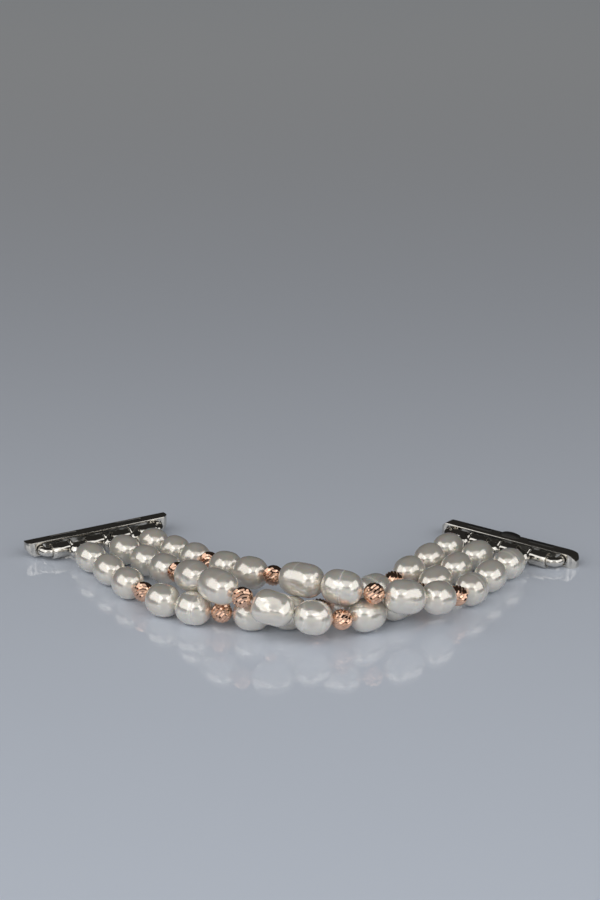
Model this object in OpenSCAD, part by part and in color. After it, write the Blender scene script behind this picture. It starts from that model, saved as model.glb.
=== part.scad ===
/* [Pearls] */
// Middle length of a pearl along its cord
pearl_length = 6.8; // [6:0.1:8]
// Middle diameter of a pearl
pearl_diameter = 6.2; // [5.6:0.1:7]
// Bore through each pearl and metal bead
bore_diameter = 1.1; // [1:0.1:1.4]
// Diameter of the elastic cord
cord_diameter = 0.7; // [0.5:0.1:0.8]

/* [Metal beads] */
// Diameter of a diamond-cut metal bead
bead_diameter = 3.9; // [3.4:0.1:4.4]
// Length of a metal bead between its flat ends
bead_length = 3.7; // [3.2:0.1:4]
// Number of slanted cuts round a metal bead
bead_cuts = 12; // [8:1:14]
// Depth of each slanted cut
cut_depth = 0.18; // [0.1:0.01:0.25]
// Slant of the cuts from the bead's bore
cut_slant = 42; // [30:1:55]

/* [Adapters] */
// Length of each slide-in adapter
adapter_length = 30.5; // [29.5:0.1:33]
// Height of each adapter
adapter_height = 3.0; // [2.9:0.1:3.4]
// Depth of the adapter's flat faces
adapter_depth = 2.3; // [2.2:0.1:3]
// Height of the upright tip at each end, below which the end curves in to the inner face
end_tip = 0.6; // [0.3:0.1:1]
// How far the adapter's round back stands out
back_bulge = 0.8; // [0.6:0.1:1.1]
// Width of the bright bevel along the front edge of the inner face
front_bevel = 0.25; // [0.1:0.05:0.25]
// Thickness of the lips above and below the front pocket
pocket_lip = 0.35; // [0.3:0.05:0.5]
// Depth of the front pocket
pocket_depth = 0.8; // [0.6:0.05:0.9]

/* [Bars] */
// Diameter of the bent bar in front of each adapter
bar_diameter = 1.8; // [1.5:0.1:1.9]
// Distance between the bar's two legs
bar_span = 25; // [24:0.1:26]
// Gap from the adapter's front edge to the bar's centre
bar_reach = 2.0; // [2:0.1:2.6]
// Bend radius of the bar's centre line
bar_bend = 1.3; // [1.1:0.1:1.6]
// Length of each bar leg that sits in the adapter
leg_grip = 1.2; // [0.9:0.1:1.4]

/* [Spacers] */
// Outer diameter of a spacer tube
spacer_diameter = 3.0; // [2.7:0.1:3]
// Length of a spacer tube
spacer_length = 3.5; // [2.6:0.1:3.5]
// Radial clearance between a spacer and its bar
spacer_clearance = 0.08; // [0.05:0.01:0.1]
// Sideways play beside each hook ring
side_play = 0.2; // [0.15:0.05:0.4]

/* [Knot covers] */
// Outer diameter of a knot cover
cover_diameter = 2.9; // [2.6:0.1:3.1]
// Wall of a knot cover
cover_wall = 0.3; // [0.25:0.05:0.4]
// Width of the seam between the cover's two cups
cover_seam = 0.12; // [0.08:0.02:0.2]
// Distance from the bar's centre to the cover's centre
cover_reach = 3.2; // [3.1:0.1:3.6]
// Wire diameter of the cover's hook ring
ring_wire = 0.5; // [0.4:0.05:0.6]
// Radial clearance between a hook ring and its bar
ring_clearance = 0.25; // [0.2:0.05:0.3]

/* [Detents and pads] */
// Length of a detent button
button_length = 4.3; // [3.6:0.1:4.8]
// Width of a detent button
button_width = 1.3; // [1.1:0.1:1.4]
// Rise of a button's crown above the adapter's inner face
button_rise = 0.4; // [0.1:0.05:0.6]
// Travel of a pressed button
button_travel = 0.5; // [0.3:0.05:0.6]
// Clearance round a button
button_clearance = 0.1; // [0.06:0.02:0.14]
// Length of a grip pad
pad_length = 5.6; // [4:0.1:6]
// Width of a grip pad
pad_width = 0.9; // [0.7:0.05:1]
// Distance between the centres of an adapter's two pads
pad_spacing = 14; // [13:0.1:16]
// Rise of a pad above the adapter's inner face
pad_rise = 0.1; // [0.05:0.05:0.2]

/* [Lie of the band] */
// Direction in which the band leaves the left adapter
start_heading = -61; // [-66:1:-56]
// Angle that the band turns through to the right adapter
band_turn = 116; // [110:1:120]
// Gap kept between neighbours on the middle cord
bead_gap = 0.3; // [0.25:0.01:0.4]

/* [Hidden] */
$fn = 48;
sides = ["left", "right"];
cords = ["a", "b", "c"];

// Twelve pearls and four metal beads on each cord, counted from the left adapter
pearl_slots = [0, 1, 2, 4, 5, 7, 8, 10, 11, 13, 14, 15];
bead_slots = [3, 6, 9, 12];
last_slot = 15;
// Pearls that share a node: singles near the adapters, pairs between the metal beads
pearl_groups = [[1], [2], [3], [4, 5], [6, 7], [8, 9], [10], [11], [12]];

// Each pearl's length against pearl_length, by cord
long_by = [
    [1.06, 1.03, 0.97, 0.94, 0.98, 0.97, 1.01, 1.07, 1.02, 1.00, 1.00, 1.02],
    [1.05, 1.02, 1.03, 1.16, 1.25, 1.12, 1.00, 1.08, 1.16, 1.10, 1.07, 1.07],
    [0.94, 0.90, 0.89, 0.93, 1.00, 1.28, 1.11, 1.11, 0.97, 0.99, 1.04, 1.07]
];
// Each pearl's diameter against pearl_diameter, by cord
wide_by = [
    [0.92, 0.95, 0.97, 1.00, 1.00, 1.00, 1.00, 1.00, 1.00, 0.97, 0.95, 0.93],
    [0.93, 0.95, 0.95, 0.98, 1.03, 1.03, 1.02, 1.02, 1.00, 0.98, 0.95, 0.95],
    [0.93, 0.93, 0.95, 0.98, 1.00, 1.03, 1.03, 1.03, 1.02, 1.00, 0.97, 0.97]
];
// How much fatter each pearl is towards the right adapter, as a share of its radius
taper_by = [
    [0.00, 0.03, -0.03, 0.04, 0.00, 0.05, -0.04, 0.00, 0.03, -0.03, 0.00, 0.02],
    [0.02, 0.00, 0.04, -0.05, 0.03, -0.06, 0.02, 0.00, -0.04, 0.05, 0.00, -0.03],
    [-0.02, 0.03, 0.00, 0.04, -0.04, 0.02, -0.06, 0.05, 0.00, -0.05, 0.04, 0.06]
];
// Rings that growth has left on some pearls: cord, pearl, place along it, depth
growth_rings = [
    [0, 5, 0.15, 0.03], [0, 9, -0.30, 0.02],
    [1, 5, 0.35, 0.02], [1, 6, 0.45, 0.04],
    [2, 6, 0.00, 0.04], [2, 7, 0.25, 0.02], [2, 10, -0.30, 0.03], [2, 10, 0.20, 0.02],
    [2, 12, -0.25, 0.04], [2, 12, 0.15, 0.03]
];
ring_spread = 0.09;

// The cords cross the band at eleven even stations between the bars:
// how far each lies towards the inside of the curve, in cord pitches
side_at = [
    [-0.97, -0.92, -0.75, -0.43, 0.04, 0.34, 0.76, 1.02, 1.04, 1.02, 1.06],
    [0.11, 0.31, 0.32, 0.08, -0.47, -0.75, -0.49, -0.06, 0.00, 0.00, 0.05],
    [1.15, 1.48, 1.58, 1.62, 1.42, 0.88, -0.22, -0.96, -1.18, -1.12, -1.06]
];
// and how high each rides, in pearl diameters
height_at = [
    [0.52, 0.48, 0.50, 0.50, 0.50, 0.50, 0.50, 0.50, 0.50, 0.48, 0.53],
    [0.53, 0.56, 0.91, 1.30, 1.34, 0.98, 0.61, 0.50, 0.51, 0.48, 0.54],
    [0.53, 0.59, 0.90, 0.99, 1.14, 1.40, 1.46, 1.10, 0.64, 0.49, 0.56]
];
stations = len(side_at[0]) + 1;
steps_a_station = 12;

// Knot covers along each bar, as shares of its span
hooks_at = [[0.288, 0, -0.225], [0.27, 0, -0.265]];

bore_radius = bore_diameter / 2;
cord_radius = cord_diameter / 2;
cord_pitch = pearl_diameter + bead_gap;
bar_radius = bar_diameter / 2;
bar_straight = bar_span - 2 * bar_bend;
spacer_radius = spacer_diameter / 2;
cover_radius = cover_diameter / 2;
cup_radius = cover_radius - cover_wall;
knot_radius = cord_diameter;
cord_hole = bore_radius;
first_pearl_height = height_at[0][0] * pearl_diameter;

// Cross-section of an adapter, measured from the bar's centre; +Z is its inner face, with the button
front_edge = -bar_reach;
back_edge = front_edge - adapter_depth;
half_height = adapter_height / 2;
back_radius = (half_height * half_height + back_bulge * back_bulge) / (2 * back_bulge);
end_radius = (adapter_depth + back_bulge) / 2;
end_sweep = adapter_height - end_tip;
end_y = front_edge - end_radius;
end_x = adapter_length / 2 - end_radius;
pocket_floor = front_edge - pocket_depth;
base_bevel = 0.12;

// Detent cavity and button, measured from the adapter's mid height
button_y = back_edge + 0.45;
button_lip = 0.5;
flange_height = 0.35;
flange_reach = 0.35;
flange_top = half_height - button_lip - 0.03;
flange_base = flange_top - flange_height;
spring_wire = 0.2;
spring_turns = 3;
spring_closed = (spring_turns + 1) * spring_wire + 0.1;
cavity_floor = flange_base - button_travel - spring_closed;
spring_mean = button_width / 2 - spring_wire / 2 - 0.1;

// Grip pads run through the adapter and end just below its outer face
pad_recess = 0.05;
pad_y = back_edge + 0.2 + pad_width / 2;

// Lengths along the band
middle_length = sum_of([for (i = [0:last_slot]) piece_length(1, i)]) + (last_slot + 2) * bead_gap;
weave_take = 0.96;
band_length = weave_take * (middle_length + 2 * (cover_reach + cover_radius));
run_left = 0.245 * band_length;
run_right = 0.257 * band_length;
bend_arc = band_length - run_left - run_right;
bend_radius = bend_arc / (band_turn * PI / 180);
end_heading = start_heading + band_turn;

function sum_of(list, upto) = let (n = is_undef(upto) ? len(list) : upto)
    n <= 0 ? 0 : list[n - 1] + sum_of(list, n - 1);
function clip(x, low, high) = max(low, min(high, x));
function toward(angle) = [cos(angle), sin(angle)];
function unit(v) = v / norm(v);

// Heading and plan position at a distance along the band's centre line
function heading(s) = start_heading + band_turn * clip((s - run_left) / bend_arc, 0, 1);
function plan(s) = let (h = heading(s))
    min(s, run_left) * toward(start_heading)
    + bend_radius * [sin(h) - sin(start_heading), cos(start_heading) - cos(h)]
    + max(0, s - run_left - bend_arc) * toward(h);

// The left adapter lies with its inner face down, so that it stands on its button
function turned_over(e) = e == 0;

// Each end's bar: its centre, its height, and the turn that points +Y from the bar to the pearls
function bar_centre(e) = plan(e * band_length) - middle;
function bar_height(e) = half_height + (turned_over(e) ? button_rise : 0);
function bar_turn(e) = e == 0 ? start_heading - 90 : end_heading + 90;
function hook_x(e, k) = hooks_at[e][k] * bar_span;
function side_of_hook(e, k) = (e == 0 ? -1 : 1) * hook_x(e, k);

// Rise of the line from a bar to its first pearls
function cover_tilt(e) = asin((first_pearl_height - bar_height(e)) / (cover_reach + cover_radius + pearl_length / 2));

// A cord's controls: distance along the band, offset to the inside, height
function cover_control(e, k) = [
    e * band_length + (1 - 2 * e) * cover_reach * cos(cover_tilt(e)),
    side_of_hook(e, k),
    bar_height(e) + cover_reach * sin(cover_tilt(e))
];
function controls(k) = concat(
    [cover_control(0, k)],
    [for (i = [1:stations - 1])
        [band_length * i / stations, side_at[k][i - 1] * cord_pitch, height_at[k][i - 1] * pearl_diameter]],
    [cover_control(1, k)]
);
function blend(a, b, c, d, t) = 0.5 * (2 * b + (c - a) * t + (2 * a - 5 * b + 4 * c - d) * t * t
    + (3 * b - a - 3 * c + d) * t * t * t);
function lie(c) = let (p = plan(c[0]), h = heading(c[0])) [p.x - c[1] * sin(h), p.y + c[1] * cos(h), c[2]];
function route(c) = let (n = len(c) - 1) [
    for (i = [0:n - 1], j = [0:steps_a_station - 1])
        lie(blend(i == 0 ? 2 * c[0] - c[1] : c[i - 1], c[i], c[i + 1],
            i == n - 1 ? 2 * c[n] - c[n - 1] : c[i + 2], j / steps_a_station)),
    lie(c[n])
];
function lengths_along(p) = [for (i = 0, s = 0; i < len(p); s = s + (i + 1 < len(p) ? norm(p[i + 1] - p[i]) : 0), i = i + 1) s];
routes = [for (k = [0:2]) route(controls(k))];
reaches = [for (k = [0:2]) lengths_along(routes[k])];
tables = [for (k = [0:2]) [for (axis = [0:2]) [for (i = [0:len(routes[k]) - 1]) [reaches[k][i], routes[k][i][axis]]]]];
function on_route(k, s) = [for (axis = [0:2]) lookup(s, tables[k][axis])];
function route_length(k) = reaches[k][len(reaches[k]) - 1];

// The pieces on a cord, in order, with one even gap between neighbours
function pearl_in(i) = search(i, pearl_slots)[0];
function is_pearl(i) = len(search(i, bead_slots)) == 0;
function piece_length(k, i) = is_pearl(i) ? pearl_length * long_by[k][pearl_in(i)] : bead_length;
function piece_width(k, i) = is_pearl(i) ? pearl_diameter * wide_by[k][pearl_in(i)] : bead_diameter;
function even_gap(k) = (route_length(k) - 2 * cover_radius
    - sum_of([for (i = [0:last_slot]) piece_length(k, i)])) / (last_slot + 2);
gaps = [for (k = [0:2]) even_gap(k)];
function piece_start(k, i) = cover_radius + gaps[k] * (i + 1) + sum_of([for (j = [0:last_slot]) piece_length(k, j)], i);
function piece_from(k, i) = on_route(k, piece_start(k, i));
function piece_to(k, i) = on_route(k, piece_start(k, i) + piece_length(k, i));
function piece_middle(k, i) = (piece_from(k, i) + piece_to(k, i)) / 2;
function cover_centre(e, k) = on_route(k, e * route_length(k));
function cord_leaves(e, k) = unit((e == 0 ? piece_from(k, 0) : piece_to(k, last_slot)) - cover_centre(e, k));

// The plan's middle, so that the whole band is centred on the origin
tips = [for (e = [0, 1], x = [-end_x, end_x]) plan(e * band_length)
    + x * toward(bar_turn(e)) + end_y * toward(bar_turn(e) + 90)];
low_edge = min([for (k = [0:2], i = [0:last_slot]) let (p = piece_middle(k, i)) p.y - piece_width(k, i) / 2]);
middle = [
    (min([for (p = tips) p.x]) + max([for (p = tips) p.x])) / 2,
    (max([for (p = tips) p.y]) + end_radius + low_edge) / 2
];

function group_name(k, g) = str("pearl_", cords[k], "_", g[0], len(g) > 1 ? str("_", g[1]) : "");

// Frame of one end: the bar's centre, +X along the bar, +Y towards the pearls
module at_bar(e) {
    translate([bar_centre(e).x, bar_centre(e).y, bar_height(e)]) rotate([0, 0, bar_turn(e)]) children();
}

// The same frame with +Z on the adapter's inner face
module at_adapter(e) {
    at_bar(e) rotate([0, turned_over(e) ? 180 : 0, 0]) children();
}

// Centres children on the table position of the cords' own frame and turns +Z along a direction
module along(point, direction) {
    translate([point.x - middle.x, point.y - middle.y, point.z])
        rotate([0, acos(unit(direction).z), atan2(direction.y, direction.x)]) children();
}

module slot_2d(length, width) {
    square([length - width, width], center = true);
    for (x = [-1, 1]) translate([x * (length - width) / 2, 0]) circle(d = width);
}

// A swept tube: rings of the given radii, square to the path, capped at both ends
module tube(path, radii, count) {
    n = len(path);
    tangents = [for (i = [0:n - 1]) let (a = min(i, n - 2), b = max(i, 1))
        unit(unit(path[a + 1] - path[a]) + unit(path[b] - path[b - 1]))];
    ring_points = [for (i = [0:n - 1]) let (u = unit(cross(tangents[i], [0, 0, 1])), v = cross(u, tangents[i]))
        for (j = [0:count - 1]) path[i] + radii[i] * (cos(360 * j / count) * u + sin(360 * j / count) * v)];
    walls = [for (i = [0:n - 2], j = [0:count - 1]) let (a = i * count + j, b = i * count + (j + 1) % count)
        each [[a, b, b + count], [a, b + count, a + count]]];
    caps = concat([for (j = [1:count - 2]) [0, j + 1, j]],
        [for (j = [1:count - 2]) [0, j, j + 1] + (n - 1) * count * [1, 1, 1]]);
    polyhedron(ring_points, concat(walls, caps));
}

module adapter(e) {
    color("lightgray") at_adapter(e) difference() {
        adapter_blank();
        front_pocket();
        for (x = [-1, 1]) translate([x * bar_span / 2, pocket_floor, 0]) rotate([90, 0, 0])
            cylinder(r = bar_radius, h = leg_grip);
        for (x = [-1, 1]) translate([x * pad_spacing / 2, pad_y, 0])
            linear_extrude(adapter_height + 1, center = true) slot_2d(pad_length, pad_width);
        detent_cavity();
    }
}

// Straight bar with a convex back and round ends that curve in to the shorter inner face
module adapter_blank() {
    intersection() {
        rotate([90, 0, 90]) linear_extrude(adapter_length, center = true) adapter_section();
        linear_extrude(adapter_height + 1, center = true) translate([0, end_y])
            slot_2d(adapter_length, 2 * end_radius);
        translate([0, front_edge + 1, 0]) rotate([90, 0, 0])
            linear_extrude(adapter_depth + back_bulge + 2) adapter_front();
    }
}

module adapter_front() {
    square([adapter_length - 2 * end_sweep, adapter_height], center = true);
    intersection() {
        square([adapter_length, adapter_height], center = true);
        for (x = [-1, 1]) translate([x * (adapter_length / 2 - end_sweep), end_tip - half_height])
            circle(r = end_sweep, $fn = 96);
    }
}

module adapter_section() {
    polygon([
        [back_edge, -half_height],
        [front_edge - base_bevel, -half_height],
        [front_edge, base_bevel - half_height],
        [front_edge, half_height - front_bevel],
        [front_edge - front_bevel, half_height],
        [back_edge, half_height]
    ]);
    intersection() {
        translate([back_edge - back_bulge + back_radius, 0]) circle(r = back_radius, $fn = 96);
        translate([back_edge - back_bulge, -half_height]) square([back_bulge + 0.01, adapter_height]);
    }
}

// Pocket between the two end blocks, round at its ends like the bar's bends
module front_pocket() {
    width = adapter_height - 2 * pocket_lip;
    translate([0, front_edge + 1, 0]) rotate([90, 0, 0]) linear_extrude(pocket_depth + 1)
        slot_2d(bar_span + width, width);
}

module detent_cavity() {
    wide = button_width + 2 * button_clearance;
    translate([0, button_y, cavity_floor]) {
        linear_extrude(adapter_height) slot_2d(button_length + 2 * button_clearance, wide);
        linear_extrude(half_height - button_lip - cavity_floor)
            slot_2d(button_length + 2 * (flange_reach + button_clearance), wide);
    }
}

module detent_button(e) {
    crown_radius = (button_length * button_length / 4 + button_rise * button_rise) / (2 * button_rise);
    color("silver") at_adapter(e) translate([0, button_y, 0]) {
        translate([0, 0, flange_base]) linear_extrude(flange_height)
            slot_2d(button_length + 2 * flange_reach, button_width);
        intersection() {
            translate([0, 0, flange_base]) linear_extrude(adapter_height) slot_2d(button_length, button_width);
            translate([0, 0, half_height + button_rise - crown_radius]) rotate([90, 0, 0])
                cylinder(r = crown_radius, h = adapter_height, center = true, $fn = 96);
        }
    }
}

// Coil that lifts the button, one unbroken wire
module detent_spring(e) {
    rings = 8 * spring_turns;
    low = cavity_floor + spring_wire / 2;
    climb = flange_base - cavity_floor - spring_wire;
    path = [for (i = [0:rings]) [spring_mean * cos(45 * i), spring_mean * sin(45 * i), low + climb * i / rings]];
    color("gray") at_adapter(e) translate([0, button_y, 0])
        tube(path, [for (i = [0:rings]) spring_wire / 2 - 0.01], 6);
}

module grip_pads(e) {
    color("black") at_adapter(e) for (x = [-1, 1])
        translate([x * pad_spacing / 2, pad_y, pad_recess - half_height])
            linear_extrude(adapter_height - pad_recess + pad_rise) slot_2d(pad_length, pad_width);
}

// Staple-shaped bar: a straight run, two bends and two legs let into the adapter
module bar(e) {
    leg = -pocket_floor + leg_grip - bar_bend;
    color("gainsboro") at_bar(e) {
        rotate([0, 90, 0]) cylinder(r = bar_radius, h = bar_straight, center = true);
        for (m = [0, 1]) mirror([m, 0, 0]) {
            translate([bar_straight / 2, -bar_bend, 0]) rotate_extrude(angle = 90)
                translate([bar_bend, 0]) circle(r = bar_radius);
            translate([bar_span / 2, -bar_bend, 0]) rotate([90, 0, 0]) cylinder(r = bar_radius, h = leg);
        }
    }
}

// Spacers stand beside the hook rings, the fourth one by the bar's far bend
function spacer_x(e, i) = let (way = e == 0 ? 1 : -1)
    i < 3 ? hook_x(e, i) + way * (spacer_length / 2 + ring_wire / 2 + side_play)
    : -way * (bar_straight / 2 - spacer_length / 2 - side_play);

module spacer(e, i) {
    color("whitesmoke") at_bar(e) translate([spacer_x(e, i), 0, 0]) rotate([0, 90, 0]) difference() {
        cylinder(r = spacer_radius, h = spacer_length, center = true);
        cylinder(r = bar_radius + spacer_clearance, h = spacer_length + 1, center = true);
    }
}

// Hollow cover closed over the cord's knot, hooked to the bar by a wire ring
module knot_cover(e, k) {
    ring_mean = bar_radius + ring_clearance + ring_wire / 2;
    ring_lift = max(0, ring_mean + ring_wire / 2 - spacer_radius);
    color("silver") {
        difference() {
            union() {
                along(cover_centre(e, k), cord_leaves(e, k)) sphere(r = cover_radius);
                at_bar(e) translate([hook_x(e, k), 0, 0]) rotate([cover_tilt(e), 0, 0])
                    translate([0, ring_mean, 0]) rotate([-90, 0, 0])
                    cylinder(d = ring_wire + 0.2, h = cover_reach - ring_mean - cup_radius - 0.1);
            }
            along(cover_centre(e, k), cord_leaves(e, k)) {
                sphere(r = cup_radius);
                cylinder(r = cord_hole, h = cover_radius + 1);
            }
            at_bar(e) translate([hook_x(e, k), 0, 0]) rotate([cover_tilt(e), 0, 0])
                translate([-cover_radius - 1, cover_reach - cover_radius / 3, -cover_seam / 2])
                cube([2 * cover_radius + 2, 2 * cover_radius, cover_seam]);
        }
        at_bar(e) translate([hook_x(e, k), 0, ring_lift]) rotate([0, 90, 0])
            rotate_extrude() translate([ring_mean, 0]) circle(d = ring_wire, $fn = 24);
    }
}

// One elastic cord with a knot in the cover at each end
module cord(k) {
    start = cover_centre(0, k);
    finish = cover_centre(1, k);
    knot_steps = [-0.9, -0.5, 0, 0.5, 0.9];
    knot_radii = [0.5, 0.87, 1, 0.87, cord_radius / knot_radius];
    path = concat(
        [for (t = knot_steps) start + t * knot_radius * cord_leaves(0, k)],
        [for (i = [0:last_slot]) each [piece_from(k, i), piece_to(k, i)]],
        [for (t = [4:-1:0]) finish + knot_steps[t] * knot_radius * cord_leaves(1, k)]
    );
    radii = concat(
        knot_radius * knot_radii,
        [for (i = [0:2 * last_slot + 1]) cord_radius],
        [for (t = [4:-1:0]) knot_radius * knot_radii[t]]
    );
    color("white") translate([-middle.x, -middle.y, 0]) tube(path, radii, 8);
}

// Outline of a pearl: a blunt oval, fatter at one end, pinched where a growth ring runs round it
function pinch(k, n, t) = sum_of([for (g = growth_rings) g[0] == k && g[1] == n
    ? g[3] * exp(-pow((t - g[2]) / ring_spread, 2)) : 0]);
function pearl_outline(k, n) = let (
        long = pearl_length * long_by[k][n - 1] / 2,
        wide = pearl_diameter * wide_by[k][n - 1] / 2,
        taper = taper_by[k][n - 1])
    [for (a = [-78:6:78]) let (t = sin(a))
        [max(bore_radius + 0.05, wide * (1 + taper * t) * sqrt(1 - pow(abs(t), 2.2)) * (1 - pinch(k, n, t))), long * t]];

module pearl(k, n) {
    i = pearl_slots[n - 1];
    half = piece_length(k, i) / 2;
    color("ivory") along(piece_middle(k, i), piece_to(k, i) - piece_from(k, i))
        rotate_extrude() polygon(concat([[bore_radius, -half]], pearl_outline(k, n), [[bore_radius, half]]));
}

// Ball with flat ends and a ring of slanted, diamond-cut grooves
module metal_bead(k, i) {
    radius = bead_diameter / 2;
    flank = 1.55;
    color("rosybrown") along(piece_middle(k, i), piece_to(k, i) - piece_from(k, i)) difference() {
        intersection() {
            sphere(r = radius);
            cylinder(r = radius, h = bead_length, center = true);
        }
        cylinder(r = bore_radius, h = bead_length + 1, center = true);
        for (c = [0:bead_cuts - 1]) rotate([0, 0, 360 * c / bead_cuts]) rotate([cut_slant - 90, 0, 0])
            rotate([0, 0, -50]) rotate_extrude(angle = 100) polygon([
                [radius - cut_depth, 0],
                [radius + 0.2, flank * (cut_depth + 0.2)],
                [radius + 0.2, -flank * (cut_depth + 0.2)]
            ]);
    }
}

for (e = [0, 1]) {
    adapter(e);
    bar(e);
    grip_pads(e);
    detent_button(e);
    detent_spring(e);
    for (i = [0:3]) spacer(e, i);
    for (k = [0:2]) knot_cover(e, k);
}
for (k = [0:2]) {
    cord(k);
    for (i = bead_slots) metal_bead(k, i);
    for (g = pearl_groups) for (n = g) pearl(k, n);
}
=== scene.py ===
"""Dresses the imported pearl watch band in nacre, rose gold and polished steel."""

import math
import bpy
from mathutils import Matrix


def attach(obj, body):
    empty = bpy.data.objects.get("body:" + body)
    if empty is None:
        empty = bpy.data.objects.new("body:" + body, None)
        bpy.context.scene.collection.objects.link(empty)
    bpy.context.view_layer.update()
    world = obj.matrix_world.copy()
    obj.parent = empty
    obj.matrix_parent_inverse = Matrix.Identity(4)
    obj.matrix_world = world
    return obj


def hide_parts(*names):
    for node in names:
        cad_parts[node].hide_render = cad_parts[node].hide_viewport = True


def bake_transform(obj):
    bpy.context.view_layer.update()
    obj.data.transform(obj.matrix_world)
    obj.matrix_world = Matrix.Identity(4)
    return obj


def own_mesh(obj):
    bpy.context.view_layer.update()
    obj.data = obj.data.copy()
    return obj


bl_info = {
    "name": "Pearl watch band",
    "version": (1, 0, 0),
    "blender": (4, 5, 0),
    "location": "3D View > Sidebar > Pearl band",
    "description": "Pearls, cut beads, adapters and studio of a three-strand watch band",
    "category": "Object",
}

import bmesh
import bpy
import numpy as np
from bpy.props import FloatProperty, FloatVectorProperty, IntProperty, PointerProperty
from mathutils import Matrix, Vector, noise

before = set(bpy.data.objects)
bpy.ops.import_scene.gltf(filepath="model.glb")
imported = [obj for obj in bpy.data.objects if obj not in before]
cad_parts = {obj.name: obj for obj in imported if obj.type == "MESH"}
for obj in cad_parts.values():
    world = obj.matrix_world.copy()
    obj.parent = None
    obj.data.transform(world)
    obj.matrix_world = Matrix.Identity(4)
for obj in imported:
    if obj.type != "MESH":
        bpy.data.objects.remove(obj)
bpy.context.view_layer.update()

# All lengths are in metres. A pearl's own place runs from -1 at its left end to 1 at its right.
SIDES = ("left", "right")
CORDS = ("a", "b", "c")
SPACER_COUNT = 4
PEARL_COUNT = 12

# Pearls that share a node, as the frame names them, and the body each one rides on
PEARL_GROUPS = (
    ((1,), "left_row_1"),
    ((2,), "left_row_2"),
    ((3,), "strands"),
    ((4, 5), "strands"),
    ((6, 7), "strands"),
    ((8, 9), "strands"),
    ((10,), "strands"),
    ((11,), "right_row_11"),
    ((12,), "right_row_12"),
)

# Where a cord bends: the pearl before the gap (0 is the left knot), and the bodies it joins
STUBS = {
    0: ("left_hooks", "left_row_1"),
    1: ("left_row_1", "left_row_2"),
    2: ("left_row_2", "strands"),
    10: ("strands", "right_row_11"),
    11: ("right_row_11", "right_row_12"),
    12: ("right_row_12", "right_hooks"),
}
# The pearls on the stiff middle of the band, and those with a bend beside them
MIDDLE_PEARLS = range(3, 11)
END_PEARLS = (1, 2, 3, 10, 11, 12)

# Growth rings: (place along the pearl, depth, width, how white it shows), by cord and pearl
RINGS = {
    ("a", 4): ((-0.35, 0.008, 0.05, 0.2),),
    ("a", 5): ((0.16, 0.030, 0.045, 0.5),),
    ("a", 7): ((0.30, 0.020, 0.04, 0.5),),
    ("a", 9): ((-0.30, 0.015, 0.10, 1.0),),
    ("a", 10): ((0.35, 0.012, 0.05, 0.3),),
    ("b", 2): ((0.30, 0.010, 0.05, 0.2),),
    ("b", 4): ((0.45, 0.012, 0.05, 0.2),),
    ("b", 5): ((0.35, 0.012, 0.06, 0.2),),
    ("b", 7): ((-0.62, 0.012, 0.05, 0.5), (0.42, 0.012, 0.05, 0.4)),
    ("b", 9): ((-0.20, 0.010, 0.05, 0.3),),
    ("b", 11): ((0.40, 0.012, 0.05, 0.4),),
    ("c", 5): ((-0.58, 0.030, 0.05, 0.5), (-0.42, 0.020, 0.04, 0.3)),
    ("c", 6): ((-0.06, 0.020, 0.03, 0.6), (0.12, 0.006, 0.08, 0.0)),
    ("c", 7): ((0.05, 0.018, 0.04, 0.9),),
    ("c", 8): ((0.20, 0.010, 0.05, 0.2),),
    ("c", 10): ((-0.20, 0.030, 0.05, 0.6), (0.16, 0.034, 0.05, 0.6), (0.45, 0.030, 0.05, 0.6)),
    ("c", 12): ((-0.42, 0.045, 0.05, 0.7), (-0.20, 0.036, 0.035, 0.6), (0.38, 0.014, 0.05, 0.4)),
}
# Grey spots, partly real blemishes and partly painted dark reflections of the room where it shows
# on the camera side: (place along the pearl, degrees from its top towards the front, size,
# strength)
DARK_REFLECTIONS_AND_STAINS = {
    ("a", 5): ((-0.30, 50, 0.12, 0.3),),
    ("b", 6): ((0.15, 62, 0.20, 0.6), (-0.30, 5, 0.16, 0.5), (0.10, 12, 0.16, 0.6)),
    ("b", 7): ((0.00, 28, 0.16, 0.6), (-0.25, 95, 0.12, 0.25)),
    ("b", 8): ((-0.25, 60, 0.14, 0.4),),
    ("b", 11): ((0.00, 25, 0.14, 0.5),),
    ("b", 12): ((-0.10, 40, 0.10, 0.4),),
    ("c", 7): ((-0.05, 76, 0.10, 0.5), (0.05, 80, 0.06, 0.5)),
    ("c", 8): ((-0.30, 70, 0.14, 0.3),),
    ("c", 12): ((0.20, 60, 0.10, 0.4),),
}
# Pearls that grew more or less lumpy: how far their lumps stand out against the others'
LUMPY = {
    ("a", 9): 1.4,
    ("b", 6): 4.0,
    ("b", 7): 1.4,
    ("c", 5): 1.8,
    ("c", 6): 0.35,
    ("c", 7): 0.7,
    ("c", 10): 1.6,
}
# Pearls that grew three-sided, and by how much
SIDED = {("b", 5): 0.015, ("b", 6): 0.05, ("c", 9): 0.012}
# How blunt a pearl's ends are, as the power of its outline: single pearls, then the others
BLUNT = {("b", 5): 2.8, ("b", 6): 3.6, ("c", 6): 3.4, ("c", 7): 2.8, ("c", 8): 2.8}
BLUNT_IN_THE_MIDDLE = 2.5
BLUNT_BY_A_BEND = 2.2
# By what share a pearl is thicker at its right end than in the middle, taken in turn
TAPERS = (0.0, 0.03, -0.03, 0.02, -0.02)

# The ball that pearls are shaped from has a radius of 1. Its drilled ends lie at this height,
# and within this distance of its axis.
BALL_SEGMENTS = 56
BALL_RINGS = 40
BALL_HEIGHT = 0.997
BALL_RIM = 0.09
# Where the bore's mouth lies along a pearl, and how far the skin stays outside the bore
MOUTH_SHARE = 0.995
SKIN_SHARE = 1.02
# Steps that keep the lumps of one cord and of one pearl unlike the next one's
CORD_SEED = 31.7
PEARL_SEED = 7.3

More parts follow.
